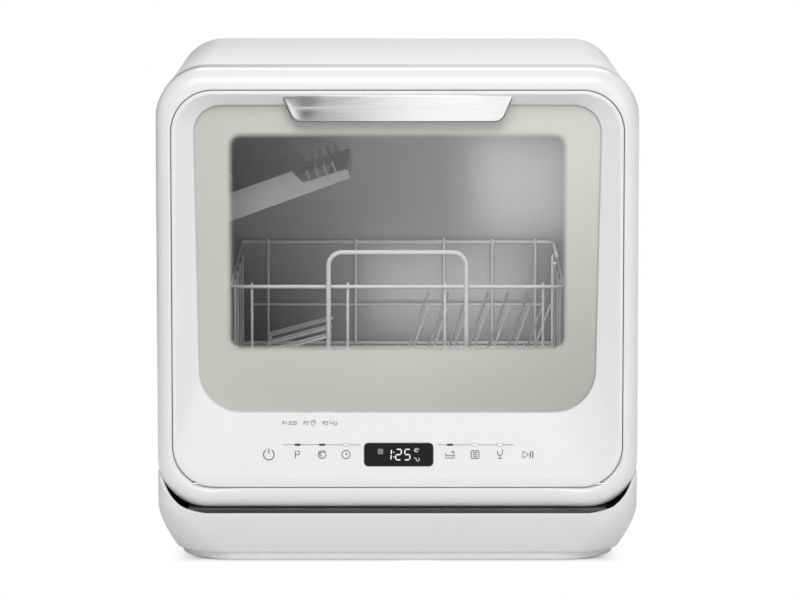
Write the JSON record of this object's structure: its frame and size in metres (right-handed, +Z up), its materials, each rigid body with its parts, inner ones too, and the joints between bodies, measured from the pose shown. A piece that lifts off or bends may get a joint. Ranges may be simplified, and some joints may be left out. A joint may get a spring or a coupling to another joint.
{
  "type": "countertop dishwasher",
  "caption": "Compact countertop dishwasher with a drop-down glass door, sloping touch panel, wire dish rack, cup shelf and two spray arms.",
  "frame": {"origin": "middle of the underside of the overall box, on the table", "axes": "+Z up, -Y towards the user and the door, +X to the right of someone facing the door"},
  "size_m": [0.42, 0.4366, 0.435],
  "materials": {
    "white_plastic": "satin gloss",
    "base_plastic": "fine satin",
    "painted_sheet": "powder coat",
    "dark_plastic": "matt",
    "grey_plastic": "satin",
    "tank_plastic": "milky",
    "rubber": "matt",
    "steel": "bright",
    "tub_steel": "satin",
    "handle_metal": "satin",
    "glass": "clear",
    "silver_print": "metallic print behind glass",
    "display": "high gloss",
    "circuit_board": "lacquered",
    "coated_wire": "nylon coated",
    "lamp_lens": "frosted"
  },
  "bodies": {
    "cabinet": {"base_tray": "base_plastic", "plinth": "base_plastic", "foot_pads": "rubber", "chassis_pan": "dark_plastic", "front_frame": "white_plastic", "cabinet_cover": "painted_sheet", "rear_panel": "base_plastic", "rear_screws": "steel", "tub": "tub_steel", "tub_gasket": "rubber", "hinge_pins": "steel", "door_strike": "steel", "shelf_brackets": "grey_plastic", "arm_hub": "grey_plastic", "sprinkler_hub": "steel", "tub_lamp": "lamp_lens", "sump": "dark_plastic", "circulation_pump": "grey_plastic", "drain_pump": "grey_plastic", "heater_tube": "steel", "feed_pipe": "grey_plastic", "water_tank": "tank_plastic", "inlet_valve": "base_plastic", "water_inlet": "base_plastic", "drain_spout": "dark_plastic", "cable_gland": "dark_plastic", "drying_fan": "dark_plastic"},
    "door": {"door_bezel": "white_plastic", "door_glass": "glass", "glass_mask": "silver_print", "inner_pane": "glass", "window_tunnel": "dark_plastic", "door_liner": "tub_steel", "door_screws": "steel", "handle": "handle_metal", "display_window": "display", "touch_board": "circuit_board", "latch_hook": "steel", "dispenser": "grey_plastic"},
    "rack": {"rack_floor": "coated_wire", "rack_front": "coated_wire", "rack_back": "coated_wire", "rack_left": "coated_wire", "rack_right": "coated_wire", "rack_loop": "coated_wire", "plate_tines": "coated_wire", "cup_loops": "coated_wire", "rack_feet": "grey_plastic"},
    "shelf": {"cup_shelf": "grey_plastic"},
    "lower_arm": {"spray_arm": "grey_plastic"},
    "upper_sprinkler": {"ceiling_sprinkler": "grey_plastic"},
    "filter": {"filter_cup": "grey_plastic", "filter_mesh": "steel"},
    "detergent_lid": {"dispenser_lid": "base_plastic"}
  },
  "joints": [
    {"name": "door_hinge", "type": "hinge", "parent": "cabinet", "child": "door", "pos_m": [0, -0.2149, 0.0711], "axis": [1, 0, 0], "range_deg": [0, 90]},
    {"name": "rack_slide", "type": "slide", "parent": "cabinet", "child": "rack", "axis": [0, -1, 0], "range_m": [0, 0.145]},
    {"name": "shelf_fold", "type": "hinge", "parent": "cabinet", "child": "shelf", "pos_m": [-0.159, -0.0265, 0.292], "axis": [0, -1, 0], "range_deg": [0, 20]},
    {"name": "lower_arm_spin", "type": "hinge", "parent": "cabinet", "child": "lower_arm", "pos_m": [0, -0.0005, 0.128], "axis": [0, 0, 1], "continuous": true},
    {"name": "upper_sprinkler_spin", "type": "hinge", "parent": "cabinet", "child": "upper_sprinkler", "pos_m": [0.03, -0.0005, 0.375], "axis": [0, 0, 1], "continuous": true},
    {"name": "filter_twist", "type": "hinge", "parent": "cabinet", "child": "filter", "pos_m": [0.084, -0.0845, 0.11], "axis": [0, 0, 1], "range_deg": [0, 45]},
    {"name": "detergent_lid_slide", "type": "slide", "parent": "door", "child": "detergent_lid", "axis": [1, 0, 0], "range_m": [0, 0.05]}
  ],
  "couplings": [
    {"joint": "rack_slide", "follows": "door_hinge", "m_per_rad": 0.09}
  ]
}
